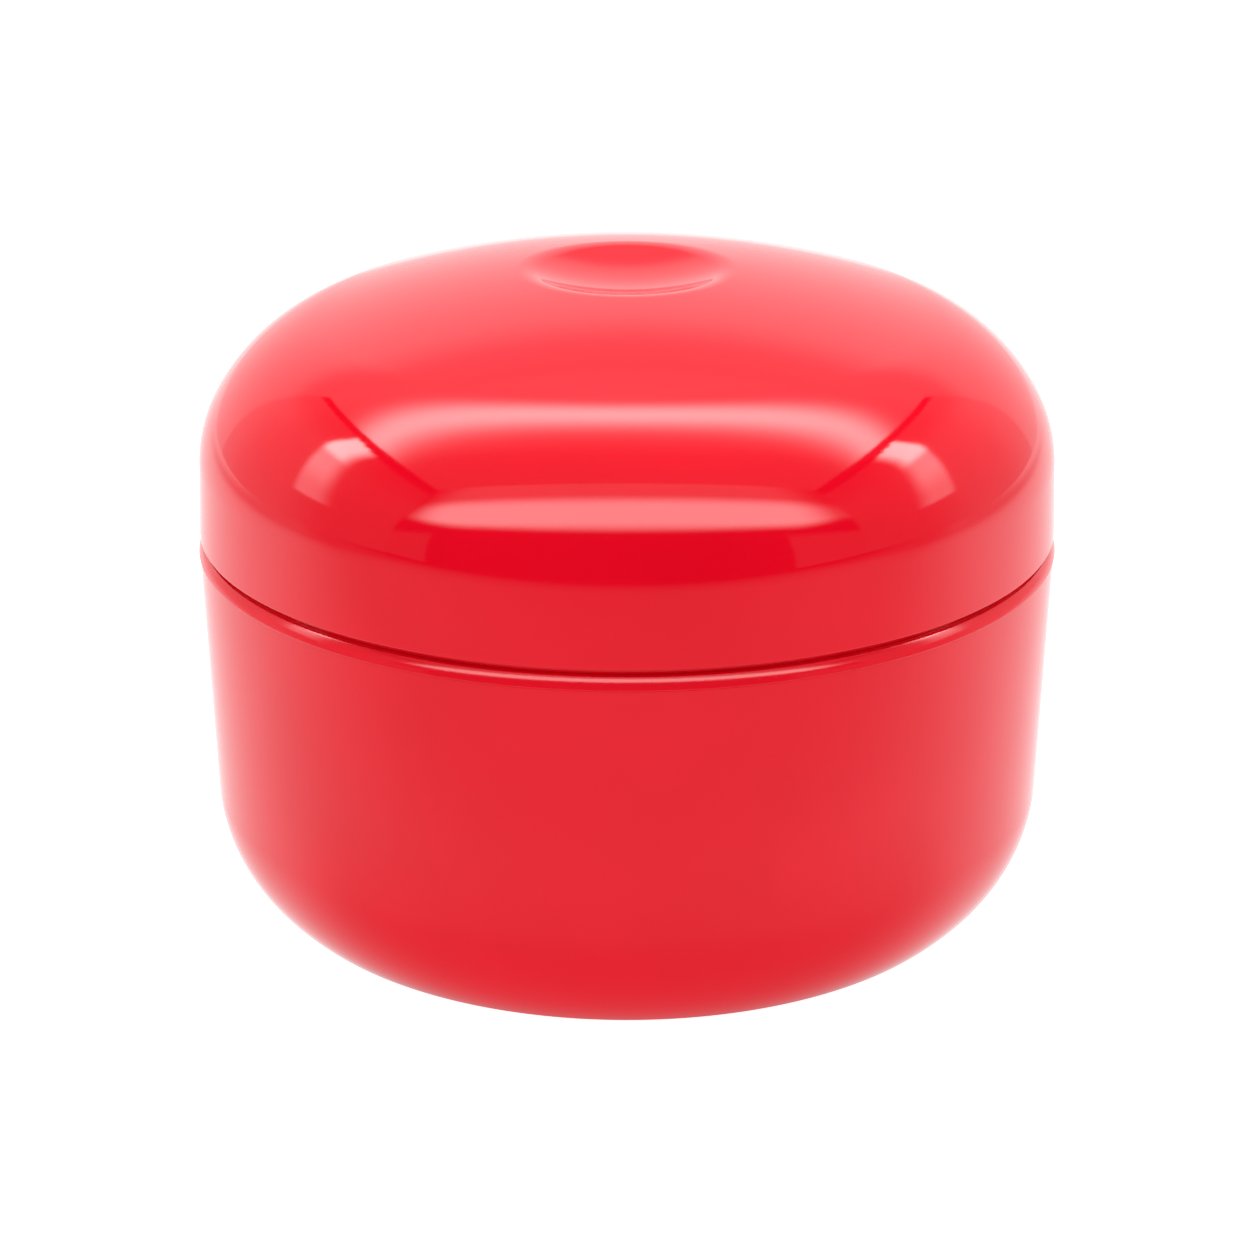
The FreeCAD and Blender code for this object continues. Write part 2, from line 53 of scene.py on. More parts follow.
class HalfSection:
    """A turned piece's outline, walked with the plastic on the left.

    A straight run keeps its heading. A bend is the arc at + radius * (left(start) - left(heading)),
    with a negative radius where it turns right. The normal is always to the right of the heading.
    """

    FEWEST_STEPS, STEP_DEGREES = 6, 3

    def __init__(self, r, z, heading):
        self.at = np.array([r, z], float)
        self.heading = np.radians(heading)
        self.points = [self.at]
        self.normals = [-self.left(self.heading)]

    @staticmethod
    def left(heading):
        """The direction a quarter turn to the left of a heading."""
        return np.array([-np.sin(heading), np.cos(heading)])

    def mark(self, normal):
        """Adds the point reached to the outline, with its normal."""
        self.points.append(self.at)
        self.normals.append(normal)

    def run(self, length):
        """Straight on for this length."""
        self.at = self.at + length * np.array([np.cos(self.heading), np.sin(self.heading)])
        self.mark(-self.left(self.heading))

    def way_to(self, r, z):
        """The length straight on to this radius or this height."""
        if z is None:
            return (r - self.at[0]) / np.cos(self.heading)
        return (z - self.at[1]) / np.sin(self.heading)

    def run_to(self, r=None, z=None):
        """Straight on to this radius or this height."""
        self.run(self.way_to(r, z))

    def bend(self, radius, heading, steps=0):
        """Along an arc to a new heading, in steps of three degrees at most and no fewer than asked for."""
        turn = np.radians(heading) - self.heading
        count = max(steps, self.FEWEST_STEPS, int(np.ceil(abs(np.degrees(turn)) / self.STEP_DEGREES)))
        centre = self.at + radius * np.sign(turn) * self.left(self.heading)
        for angle in self.heading + turn * np.arange(1, count + 1) / count:
            self.at = centre - radius * np.sign(turn) * self.left(angle)
            self.mark(-self.left(angle))
        self.heading = np.radians(heading)

    def corner(self, rounding, heading, r=None, z=None):
        """Straight on towards this radius or height, and round the corner there to a new heading."""
        shortfall = rounding * np.tan(abs(np.radians(heading) - self.heading) / 2)
        self.run(self.way_to(r, z) - shortfall)
        self.bend(rounding, heading)


def show(name, vertices, faces, normals=None):
    """A smooth mesh object in the frame. vertices are in millimetres."""
    mesh = bpy.data.meshes.new(name)
    mesh.from_pydata(vertices * MM, [], faces)
    mesh.validate()
    mesh.polygons.foreach_set("use_smooth", np.ones(len(mesh.polygons), bool))
    if normals is not None:
        mesh.normals_split_custom_set_from_vertices(normals)
    mesh.update()
    piece = bpy.data.objects.new(name, mesh)
    bpy.context.scene.collection.objects.link(piece)
    return piece


def spin(radius, height, sides):
    """Rings of points about Z: (r, z) at angle a is (r cos a, r sin a, z)."""
    angle = np.arange(sides) * 2 * np.pi / sides
    flat = radius[:, None, None] * np.stack([np.cos(angle), np.sin(angle)], -1)
    level = np.broadcast_to(height[:, None, None], (len(height), sides, 1))
    return np.concatenate([flat, level], -1).reshape(-1, 3)


def ring_quads(rings, sides):
    """The quads between rings of points: point, next point round, and the same two of the next ring."""
    ring, step = np.meshgrid(np.arange(rings - 1), np.arange(sides), indexing="ij")
    here, after = ring * sides + step, ring * sides + (step + 1) % sides
    return np.stack([here, after, after + sides, here + sides], -1).reshape(-1, 4)


def turned(name, section):
    """A half-section turned about Z, closed at its poles by fans of triangles."""
    profile, slope = np.array(section.points), np.array(section.normals)
    rings, ring_normals = spin(*profile[1:-1].T, SEGMENTS), spin(*slope[1:-1].T, SEGMENTS)
    poles = np.array([[0, 0, profile[0, 1]], [0, 0, profile[-1, 1]]])
    pole_normals = np.array([[0, 0, np.sign(slope[0, 1])], [0, 0, np.sign(slope[-1, 1])]])
    step = np.arange(SEGMENTS)
    after = (step + 1) % SEGMENTS
    first_pole, last_pole, last_ring = len(rings), len(rings) + 1, len(rings) - SEGMENTS
    start = np.stack([np.full(SEGMENTS, first_pole), after, step], -1)
    end = np.stack([np.full(SEGMENTS, last_pole), last_ring + step, last_ring + after], -1)
    faces = [*ring_quads(len(profile) - 2, SEGMENTS).tolist(), *start.tolist(), *end.tolist()]
    return show(name, np.concatenate([rings, poles]), faces, np.concatenate([ring_normals, pole_normals]))


class Maths:
    """A socket of a material's nodes. Arithmetic on it adds Math nodes."""

    def __init__(self, tree, socket):
        self.tree, self.socket = tree, socket

    def node(self, kind, settings, sockets, output=0):
        """Adds any node: its settings are set first, then its sockets get values or links."""
        made = self.tree.nodes.new("ShaderNode" + kind)
        for name, setting in settings.items():
            setattr(made, name, setting)
        for name, given in sockets.items():
            if isinstance(given, Maths):
                self.tree.links.new(given.socket, made.inputs[name])
            else:
                made.inputs[name].default_value = given
        return Maths(self.tree, made.outputs[output])

    def maths(self, operation, *others):
        """One Math node, whose first socket is this one."""
        return self.node("Math", {"operation": operation}, dict(enumerate((self, *others))))

    def __add__(self, other):
        return self.maths("ADD", other)

    def __sub__(self, other):
        return self.maths("SUBTRACT", other)

    def __rsub__(self, other):
        return self * -1 + other

    def __mul__(self, other):
        return self.maths("MULTIPLY", other)

    __radd__, __rmul__ = __add__, __mul__

    def between(self, low, high):
        """0 below low, 1 above high and a smooth rise between."""
        return self.node("MapRange", {"interpolation_type": "SMOOTHSTEP"},
                         {"Value": self, "From Min": low, "From Max": high})

    def axis(self, name):
        """One coordinate of a vector."""
        return self.node("SeparateXYZ", {}, {0: self}, name)

    def in_units(self, size):
        """A place in units of this many millimetres."""
        return self.node("Mapping", {}, {"Vector": self, "Scale": [1 / (size * MM)] * 3})

    def noise(self, size, detail=2.0):
        """Soft noise whose blotches are about this many millimetres across."""
        return self.node("TexNoise", {}, {"Vector": self.in_units(size), "Scale": 1.0, "Detail": detail})

    def blend(self, first, second):
        """A colour that goes from first to second as this goes from 0 to 1."""
        return self.node("Mix", {"data_type": "RGBA"}, {0: self, 6: first, 7: second}, 2)

    def clouds(self, size, first, second):
        """Clouds of the second colour in the first, about this many millimetres across."""
        return self.noise(size).between(0.3, 0.7).blend(first, second)


def finish(name, colour, roughness=None, relief=None, depth=0.0, **constants):
    """A Principled material. colour, roughness and relief are functions of the object's coordinates.

    depth is the relief's, in millimetres, and the constants go to the other sockets.
    """
    material = bpy.data.materials.new(name)
    material.use_nodes = True
    tree = material.node_tree
    shader = tree.nodes["Principled BSDF"]
    place = Maths(tree, tree.nodes.new("ShaderNodeTexCoord").outputs["Object"])
    tree.links.new(colour(place).socket, shader.inputs["Base Color"])
    if roughness:
        tree.links.new(roughness(place).socket, shader.inputs["Roughness"])
    if relief:
        bump = place.node("Bump", {}, {"Height": relief(place), "Strength": 1.0, "Distance": depth * MM})
        tree.links.new(bump.socket, shader.inputs["Normal"])
    for socket, value in constants.items():
        shader.inputs[socket.replace("_", " ")].default_value = value
    return material


def dress(piece, material, body, slot, *nodes):
    """Gives a piece its material, its body and the solids that it stands for, if any. slot is not used."""
    piece.data.materials.clear()
    piece.data.materials.append(material)
    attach(piece, body)
    if nodes:
        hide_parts(*nodes)


RED = (0.84, 0.002, 0.016, 1)
RED_DEEP = (0.80, 0.0015, 0.014, 1)
RED_IOR, PEEL_DEPTH = 1.5, 0.004
GLOSS, UNEVEN, DUST, LINER_DULLER = 0.045, 0.03, 0.15, 0.07


def pigment(place):
    """Red masterbatch: very faint clouds, a few centimetres across."""
    return place.clouds(35, RED, RED_DEEP)


def polish(place):
    """A polished mould's gloss, a little uneven, with sparse dull specks of dust."""
    specks = place.noise(0.7, 0).between(0.84, 0.88)
    return GLOSS + UNEVEN * place.noise(18) + DUST * specks


def orange_peel(place):
    """The slight waviness of a moulded surface: ripples of a few millimetres."""
    return place.noise(6, 1) + 0.25 * place.noise(1.6, 1)


gloss_red = finish("gloss_red", pigment, polish, orange_peel, PEEL_DEPTH, IOR=RED_IOR)

RIM_RADIUS, RIM_HEIGHT, RIM_THICK = 100.0, 88.05, 2.9
SHELL_RADIUS, SHELL_WALL, DRAFT = 99.75, 2.5, 1.95
SHELL_TOP = RIM_HEIGHT - RIM_THICK
CORNER_START, CORNER_RADIUS, FOOT_EDGE = 27.3, 35.2, 6.0
FOOT_WIDTH, FOOT_RECESS, GATE_RADIUS, GATE_DEPTH = 5.0, 0.7, 7.0, 0.5
SHARP, CRISP = 0.35, 0.15  # roundings of moulded edges

TAPER = np.radians(DRAFT)
UP = 90 - DRAFT


def wall_radius(inset, height):
    """The radius of the tapered wall at this height, for a face inset from the shell's outside."""
    return SHELL_RADIUS - inset / np.cos(TAPER) - (SHELL_TOP - height) * np.tan(TAPER)


corner_centre = (np.array([wall_radius(0, CORNER_START), CORNER_START])
                 - CORNER_RADIUS * np.array([np.cos(TAPER), -np.sin(TAPER)]))


def wall_foot(inset):
    """The height where the tapered wall meets the corner's arc, for a face inset."""
    return corner_centre[1] - (CORNER_RADIUS - inset) * np.sin(TAPER)


def floor_meets(inset, floor, edge):
    """Where a flat floor ends, and the heading where its edge's arc meets the corner's, for a face inset."""
    drop = corner_centre[1] - floor - edge
    reach = CORNER_RADIUS - inset - edge
    across = np.sqrt(reach**2 - drop**2)
    return corner_centre[0] + across, np.degrees(np.arctan2(across, drop))


flat_end, meets = floor_meets(0, 0, FOOT_EDGE)
_, inner_meets = floor_meets(SHELL_WALL, SHELL_WALL, FOOT_EDGE - SHELL_WALL)
shell_section = HalfSection(0, FOOT_RECESS + GATE_DEPTH, 0)
shell_section.corner(CRISP, -90, r=GATE_RADIUS)
shell_section.corner(CRISP, 0, z=FOOT_RECESS)
shell_section.corner(CRISP, -90, r=flat_end - FOOT_WIDTH)
shell_section.corner(SHARP, 0, z=0)
shell_section.run_to(r=flat_end)
shell_section.bend(FOOT_EDGE, meets)
shell_section.bend(CORNER_RADIUS, UP, steps=24)
shell_section.corner(CRISP, 180, z=SHELL_TOP)
shell_section.corner(CRISP, 180 + UP, r=wall_radius(SHELL_WALL, SHELL_TOP))
shell_section.run_to(z=wall_foot(SHELL_WALL))
shell_section.bend(CORNER_RADIUS - SHELL_WALL, 180 + inner_meets, steps=16)
shell_section.bend(FOOT_EDGE - SHELL_WALL, 180)
shell_section.run_to(r=0)
dress(turned("shell_moulding", shell_section), gloss_red, "bucket", "shell_red", "outer_shell")

# ---------------------------------------------------------------- liner
# The inner vessel, moulded in the same red. Its flange is the bucket's rim, whose rounded face leans
# in above a small lower edge. A rib under the flange drops inside the shell, where the two are glued.
RIM_FACE, RIM_LEAN, RIM_ROUND, MOUTH_ROUND = 4.9, 10.5, 0.3, 1.2
FOAM_SPACE, LINER_WALL, LINER_EDGE = 10.0, 2.2, 9.0
RIB_WALL, RIB_DEPTH, GLUE_GAP = 1.6, 3.0, 0.15
LINER_OUT = SHELL_WALL + FOAM_SPACE
LINER_IN = LINER_OUT + LINER_WALL

rib_outer = wall_radius(SHELL_WALL + GLUE_GAP, SHELL_TOP - RIB_DEPTH)
under_end, under_meets = floor_meets(LINER_OUT, LINER_OUT, LINER_EDGE)
_, over_meets = floor_meets(LINER_IN, LINER_IN, LINER_EDGE - LINER_WALL)
liner_section = HalfSection(0, LINER_OUT, 0)
liner_section.run_to(r=under_end)
liner_section.bend(LINER_EDGE, under_meets)
liner_section.bend(CORNER_RADIUS - LINER_OUT, UP, steps=12)
liner_section.corner(SHARP, 0, z=SHELL_TOP)
liner_section.corner(CRISP, -90, r=rib_outer - RIB_WALL)
liner_section.corner(SHARP, 0, z=SHELL_TOP - RIB_DEPTH)
liner_section.corner(SHARP, 90, r=rib_outer)
liner_section.corner(CRISP, 0, z=SHELL_TOP)
liner_section.run_to(r=RIM_RADIUS - RIM_ROUND)
liner_section.bend(RIM_ROUND, 90 + RIM_LEAN)
face_centre = liner_section.at[1] - RIM_FACE * np.sin(np.radians(RIM_LEAN))
face_end = np.degrees(np.arcsin((RIM_HEIGHT - RIM_ROUND - face_centre) / (RIM_FACE - RIM_ROUND)))
liner_section.bend(RIM_FACE, 90 + face_end, steps=16)
liner_section.bend(RIM_ROUND, 180)
liner_section.corner(MOUTH_ROUND, 180 + UP, r=wall_radius(LINER_IN, RIM_HEIGHT))
liner_section.run_to(z=wall_foot(LINER_IN))
liner_section.bend(CORNER_RADIUS - LINER_IN, 180 + over_meets, steps=12)
liner_section.bend(LINER_EDGE - LINER_WALL, 180)
liner_section.run_to(r=0)


def duller_polish(place):
    """The gloss of the liner's mould, which is polished a little less than the others."""
    return LINER_DULLER + polish(place)


soft_gloss_red = finish("soft_gloss_red", pigment, duller_polish, orange_peel, PEEL_DEPTH, IOR=RED_IOR)
dress(turned("liner_moulding", liner_section), soft_gloss_red, "bucket", "liner_red", "liner")

# ---------------------------------------------------------------- joint flash
# The thin squeeze-out of cement under the rim, where liner and shell are glued: a hair-fine fillet
# with small blobs where more came out.
FLASH, BLOB = 0.05, 0.24  # how thick the fillet is, and how much a blob adds at most
BLOBS, BLOB_LENGTH = 46, (0.3, 1.2)
TUCK, PROUD = 0.04, 0.02  # its centre line is inside the joint's corner, and its top is cut off flat
FLASH_SAMPLES, FLASH_SIDES = 1440, 8


def squeezed_out(angle, chance):
    """How thick the fillet is at each angle: a base thickness plus rounded humps at random places."""
    places = chance.uniform(0, 2 * np.pi, BLOBS)[:, None]
    lengths = chance.uniform(*BLOB_LENGTH, BLOBS)[:, None] / SHELL_RADIUS
    heights = BLOB * chance.uniform(0.2, 1.0, BLOBS)[:, None] ** 2
    away = (angle[None] - places + np.pi) % (2 * np.pi) - np.pi
    return FLASH + (heights * np.exp(-((away / lengths * 2) ** 2))).sum(0)


def inside_out(quads):
    """The same quads, facing the other way."""
    return quads[:, [0, 3, 2, 1]]


def joint_flash():
    """A torus of changing thickness t: its points are t cos(tilt) out and t sin(tilt) up from its middle."""
    angle = (np.arange(FLASH_SAMPLES) * 2 * np.pi / FLASH_SAMPLES)[:, None]
    tilt = np.arange(FLASH_SIDES) * 2 * np.pi / FLASH_SIDES
    thick = squeezed_out(angle[:, 0], np.random.default_rng(7))[:, None]
    radius = SHELL_RADIUS - TUCK + thick * np.cos(tilt)
    height = np.minimum(SHELL_TOP - TUCK + thick * np.sin(tilt), SHELL_TOP + PROUD)
    points = np.stack([radius * np.cos(angle), radius * np.sin(angle), height], -1).reshape(-1, 3)
    quads = inside_out(ring_quads(FLASH_SAMPLES + 1, FLASH_SIDES)) % len(points)
    return show("joint_flash", points, quads.tolist())


dress(joint_flash(), gloss_red, "bucket", "shell_red")

# ---------------------------------------------------------------- foam in the body
# A strip of white bead foam bent round the liner, and a disc of it under the liner's floor. Both are
# closed in between the mouldings.
BEAD_SIZE, BEAD_RELIEF = 3, 0.25
# The first colour is painted shade, the grey of the grooves between the beads; the second is the foam's
# white.
BEAD_GROOVE_SHADE, BEAD_WHITE = (0.62, 0.62, 0.60, 1), (0.88, 0.88, 0.86, 1)


def beads(place):
    """Moulded foam beads about three millimetres across: 1, and less towards their borders."""
    cell = {"Vector": place.in_units(BEAD_SIZE), "Scale": 1.0}
    return place.node("TexVoronoi", {"feature": "DISTANCE_TO_EDGE"}, cell).between(0, 0.2)


def foam_white(place):
    """White foam with painted shade: greyer in the grooves along the borders of its beads."""
    return beads(place).blend(BEAD_GROOVE_SHADE, BEAD_WHITE)


def foam_skin(place):
    """A dull skin, a little uneven."""
    return 0.75 + 0.15 * place.noise(4)


bead_foam = finish("bead_foam", foam_white, foam_skin, beads, BEAD_RELIEF)
for node in ("foam_wrap", "foam_floor", "lid_foam"):
    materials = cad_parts[node].data.materials
    materials.clear()
    materials.append(bead_foam)

# ---------------------------------------------------------------- drain grid
# A loose disc in white polypropylene, moulded in one piece with four feet. It has rings of drain
# holes and a larger hole in the middle for the finger that lifts it out.
GRID_GAP, GRID_THICK, GRID_FOOT, GRID_EDGE = 1.2, 2.0, 6.0, 0.4
HOLE_RADIUS, RING_STEP, FINGER_RADIUS = 3.5, 14.0, 11.0
RING_HOLES = (12, 18, 24, 30)
FEET, FOOT_RING, FOOT_RADIUS, FOOT_SINK = 4, 2.5, 2.5, 0.5
AROUND = 360  # a whole number of samples for each hole of every ring
SPOKE, FOOT_SIDES = 9, 40  # samples along a spoke between two holes, and round a foot
OVER_EDGE = np.linspace(0, np.pi / 2, 5)  # the turn over a rounded edge, in four steps
MILKY, MILKY_DEEP = (0.83, 0.82, 0.78, 1), (0.78, 0.77, 0.73, 1)
MILKY_IOR, GRAIN_DEPTH = 1.49, 0.01

grid_floor = LINER_IN + GRID_FOOT
grid_top = grid_floor + GRID_THICK
reach = CORNER_RADIUS - LINER_IN
grid_radius = corner_centre[0] + np.sqrt(reach**2 - (corner_centre[1] - grid_floor) ** 2) - GRID_GAP


def plate_edge(straight):
    """The rounded section of the plate's edge: how far it stands off the hole's wall, and its height."""
    off = GRID_EDGE * (1 - np.sin(OVER_EDGE))
    up = GRID_EDGE * (1 - np.cos(OVER_EDGE))
    off = np.concatenate([[straight], off, off[::-1], [straight]])
    height = np.concatenate([[0], up, GRID_THICK - up[::-1], [GRID_THICK]])
    return off, grid_top - height


def band_outline(holes, inner, outer):
    """One hole's share of a ring: a wedge between two circles, walked round from its inner corner."""
    share, step = AROUND // holes, 2 * np.pi / AROUND
    low, high = -(share // 2) * step, (share - share // 2) * step
    along, side = np.arange(share) * step, np.arange(SPOKE) / SPOKE
    radius = np.concatenate([np.full(share, inner), inner + (outer - inner) * side,
                             np.full(share, outer), outer - (outer - inner) * side])
    angle = np.concatenate([low + along, np.full(SPOKE, high), high - along, np.full(SPOKE, low)])
    return radius * np.cos(angle), radius * np.sin(angle)


def drilled_ring(number, holes):
    """A ring of the plate: rows run from each wedge's outline to its hole, over its edge and back below."""
    middle = FINGER_RADIUS + number * RING_STEP
    x, y = band_outline(holes, middle - RING_STEP / 2, middle + RING_STEP / 2)
    to_hole = np.arctan2(y, x - middle)
    distance = np.hypot(x - middle, y)
    off, height = plate_edge(0.0)
    radius = np.repeat(HOLE_RADIUS + off[:, None], len(distance), 1)
    radius[[0, -1]] = distance
    rows_x = middle + radius * np.cos(to_hole)
    rows_y = radius * np.sin(to_hole)
    turn = np.arange(holes)[:, None, None] * 2 * np.pi / holes
    all_x = rows_x * np.cos(turn) - rows_y * np.sin(turn)
    all_y = rows_x * np.sin(turn) + rows_y * np.cos(turn)
    points = np.stack([all_x, all_y, np.broadcast_to(height[:, None], all_x.shape)], -1)
    wedge = inside_out(ring_quads(len(off), len(x)))
    starts = np.arange(holes)[:, None, None] * radius.size
    return points.reshape(-1, 3), (wedge + starts).reshape(-1, 4)


def grid_foot(number):
    """A foot: a short peg with a rounded end that grows out of the plate's underside."""
    top = grid_floor + FOOT_SINK
    radius = np.concatenate([[0], FOOT_RADIUS - GRID_EDGE + GRID_EDGE * np.sin(OVER_EDGE), [FOOT_RADIUS, 0]])
    height = np.concatenate([[LINER_IN], LINER_IN + GRID_EDGE - GRID_EDGE * np.cos(OVER_EDGE), [top, top]])
    angle = number * 2 * np.pi / FEET
    centre = (FINGER_RADIUS + FOOT_RING * RING_STEP) * np.array([np.cos(angle), np.sin(angle), 0])
    return centre + spin(radius, height, FOOT_SIDES), ring_quads(len(radius), FOOT_SIDES)


def welded(name, patches):
    """One object of several patches, with the points that they share made one."""
    starts = np.cumsum([0] + [len(points) for points, _ in patches[:-1]])
    points = np.concatenate([points for points, _ in patches])
    quads = np.concatenate([quads + start for (_, quads), start in zip(patches, starts)])
    same, index = np.unique(np.round(points, 4), axis=0, return_inverse=True)
    quads = index.reshape(-1)[quads]
    faces = [list(dict.fromkeys(quad)) for quad in quads.tolist()]
    return show(name, same, [face for face in faces if len(face) > 2])


off, height = plate_edge(RING_STEP / 2)
band = ring_quads(len(off), AROUND)
first_band = (spin(FINGER_RADIUS + off, height, AROUND), band)
off, height = plate_edge(grid_radius - FINGER_RADIUS - (len(RING_HOLES) + 0.5) * RING_STEP)
last_band = (spin(grid_radius - off, height, AROUND), inside_out(band))
patches = [first_band, last_band]
patches += [drilled_ring(number, holes) for number, holes in enumerate(RING_HOLES, start=1)]
patches += [grid_foot(number) for number in range(FEET)]


def milky_pigment(place):
    """Undyed polypropylene: very faint clouds of warm white."""
    return place.clouds(25, MILKY, MILKY_DEEP)


def milky_gloss(place):
    """The half gloss of polypropylene, a little uneven."""
    return 0.28 + 0.10 * place.noise(12)


def mould_grain(place):
    """The fine grain of a mould that is not polished."""
    return place.noise(0.9, 1)


milky_white = finish("milky_white", milky_pigment, milky_gloss, mould_grain, GRAIN_DEPTH, IOR=MILKY_IOR)
dress(welded("drain_grid_moulding", patches), milky_white, "grid", "grid_white", "drain_grid")

# ---------------------------------------------------------------- lid dome
# The outside of the lid: a straight skirt, then arcs that flatten towards the crown, with a round
# thumb dish sunk in its middle. Inside the skirt is a rebate that the pan is glued into.
LID_INSET, LID_GAP, LID_WALL, LID_DRAFT = 0.35, 1.65, 3.0, 1.9
SKIRT_HEIGHT, SKIRT_ROUND, SHOULDER, HAUNCH = 16.9, 0.4, 29.1, 42.4
SHOULDER_TURN, HAUNCH_TURN = 26.4, 44.1
DISH_DEPTH, DISH_RADIUS, DISH_LIP = 5.4, 64.0, 11.0
REBATE_WALL, PAN_FLANGE = 2.3, 3.2

skirt_foot = RIM_HEIGHT + LID_GAP
skirt_radius = RIM_RADIUS - LID_INSET
rebate_radius = skirt_radius - REBATE_WALL
ledge = RIM_HEIGHT + PAN_FLANGE
skirt_up = 90 + LID_DRAFT
shoulder_end = skirt_up + SHOULDER_TURN
haunch_end = shoulder_end + HAUNCH_TURN

outside = HalfSection(skirt_radius - SKIRT_ROUND, skirt_foot, 0)
outside.corner(SKIRT_ROUND, skirt_up, r=skirt_radius)
outside.run_to(z=skirt_foot + SKIRT_HEIGHT)
outside.bend(SHOULDER, shoulder_end, steps=24)
outside.bend(HAUNCH, haunch_end, steps=32)
crown_radius = outside.at[0] / np.sin(np.pi - outside.heading)
crown_centre = outside.at[1] + crown_radius * np.cos(outside.heading)
dish_centre = crown_centre + crown_radius - DISH_DEPTH + DISH_RADIUS
apart = dish_centre - crown_centre
lip_height = (apart**2 + (crown_radius - DISH_LIP) ** 2 - (DISH_RADIUS + DISH_LIP) ** 2) / (2 * apart)
lip_radius = np.sqrt((crown_radius - DISH_LIP) ** 2 - lip_height**2)
crown_slope = np.degrees(np.arcsin(lip_radius / (crown_radius - DISH_LIP)))
dish_slope = np.degrees(np.arcsin(lip_radius / (DISH_RADIUS + DISH_LIP)))
outside.bend(crown_radius, 180 - crown_slope, steps=30)
outside.bend(DISH_LIP, 180 + dish_slope, steps=16)
outside.bend(DISH_RADIUS, 180, steps=16)

dome_section = HalfSection(0, dish_centre - DISH_RADIUS - LID_WALL, 0)
dome_section.bend(DISH_RADIUS + LID_WALL, dish_slope, steps=12)
dome_section.bend(DISH_LIP - LID_WALL, -crown_slope)
dome_section.bend(crown_radius - LID_WALL, haunch_end - 180, steps=20)
dome_section.bend(HAUNCH - LID_WALL, shoulder_end - 180, steps=20)
dome_section.bend(SHOULDER - LID_WALL, skirt_up - 180, steps=16)
dome_section.corner(CRISP, 0, z=ledge)
dome_section.corner(CRISP, -90, r=rebate_radius)
dome_section.corner(CRISP, 0, z=skirt_foot)
dome_section.points += outside.points
dome_section.normals += outside.normals
dress(turned("dome_moulding", dome_section), gloss_red, "lid", "lid_red", "lid_dome")

# ---------------------------------------------------------------- lid pan
# The red tray that closes the dome from below. Its flange is glued into the dome's rebate, its
# tapered plug fills the top of the mouth, and its flat floor shows when the lid is turned over.
PAN_WALL, PLUG_DEPTH, PLUG_GAP, PLUG_ROUND = 2.0, 12.0, 0.8, 4.0
plug_foot = RIM_HEIGHT - PLUG_DEPTH
plug_inset = LINER_IN + PLUG_GAP
pan_inset = plug_inset + PAN_WALL

pan_section = HalfSection(0, plug_foot, 0)
pan_section.corner(PLUG_ROUND, UP, r=wall_radius(plug_inset, plug_foot))
pan_section.corner(SHARP, 0, z=RIM_HEIGHT)
pan_section.corner(CRISP, 90, r=rebate_radius - GLUE_GAP)
pan_section.corner(CRISP, 180, z=ledge)
pan_section.corner(SHARP, 180 + UP, r=wall_radius(pan_inset, ledge))
pan_section.corner(PLUG_ROUND - PAN_WALL, 180, z=plug_foot + PAN_WALL)
pan_section.run_to(r=0)
dress(turned("pan_moulding", pan_section), gloss_red, "lid", "pan_red", "lid_pan")

# ---------------------------------------------------------------- light tent
# A white tent round the object, open at the front, with a soft lamp above the opening, one through
# each side wall and one through the roof. It shows in the object's gloss, and the roof also lights
# the object softly. Its places are in metres from the middle of the object's foot.
LEFT, RIGHT, FRONT, BACK = -2.0, 2.0, -1.06, 1.93
TABLE, TENT_TOP = -0.0002, 2.2


def flat_sheet(name, corners):
    """A flat sheet between four corners, in metres."""
    return show(name, np.array(corners, float) / MM, [[0, 1, 2, 3]])


def panel(name, light, *corners):
    """A flat panel that gives off light(place) and is seen only as a reflection."""
    material = bpy.data.materials.new(name)
    material.use_nodes = True
    tree = material.node_tree
    tree.nodes.clear()
    place = Maths(tree, tree.nodes.new("ShaderNodeTexCoord").outputs["Object"])
    glow = place.node("Emission", {}, {"Color": light(place), "Strength": 1.0})
    tree.links.new(glow.socket, tree.nodes.new("ShaderNodeOutputMaterial").inputs["Surface"])
    sheet = flat_sheet(name, corners)
    sheet.data.materials.append(material)
    sheet.visible_camera = sheet.visible_diffuse = False
    return sheet


FRONT_LAMP, FRONT_CLOTH = 5.7, 0.25
LAMP_ARCH, TOP_FADE, END_FADE = 0.25, 0.83, 0.85


def front_light(place):
    """A dark opening between strips of dim cloth, and above it a wide lamp with rounded, fading ends."""
    x, z = place.axis("X"), place.axis("Z")
    height = z - LAMP_ARCH * x.maths("ABSOLUTE").between(1.0, 2.1)
    lamp = height.between(0.74, 1.0) * (1 - TOP_FADE * z.between(1.3, 1.7))
    ends = x.between(-2.05, -1.35) * (1 - END_FADE * x.between(1.15, 1.9))
    cloth = (1 - x.between(-1.31, -1.29) + x.between(0.93, 0.95)) * (1 - z.between(0.55, 0.72))
    return FRONT_LAMP * lamp * ends + FRONT_CLOTH * cloth


SIDE_CLOTH, SIDE_MIDDLE, SIDE_BACK, TOP_SHADE = 0.3, 0.3, 0.15, 0.4
PATCH_LOW, PATCH_MIDDLE, PATCH_TOP = 1.7, 1.5, 6.0
SLANT, SKEW, TOP_BEND = 0.36, 0.02, 0.2
SEAM, SEAM_WAVE, SEAM_DROP = (TENT_TOP - 0.17, TENT_TOP - 0.13), 0.015, 0.1


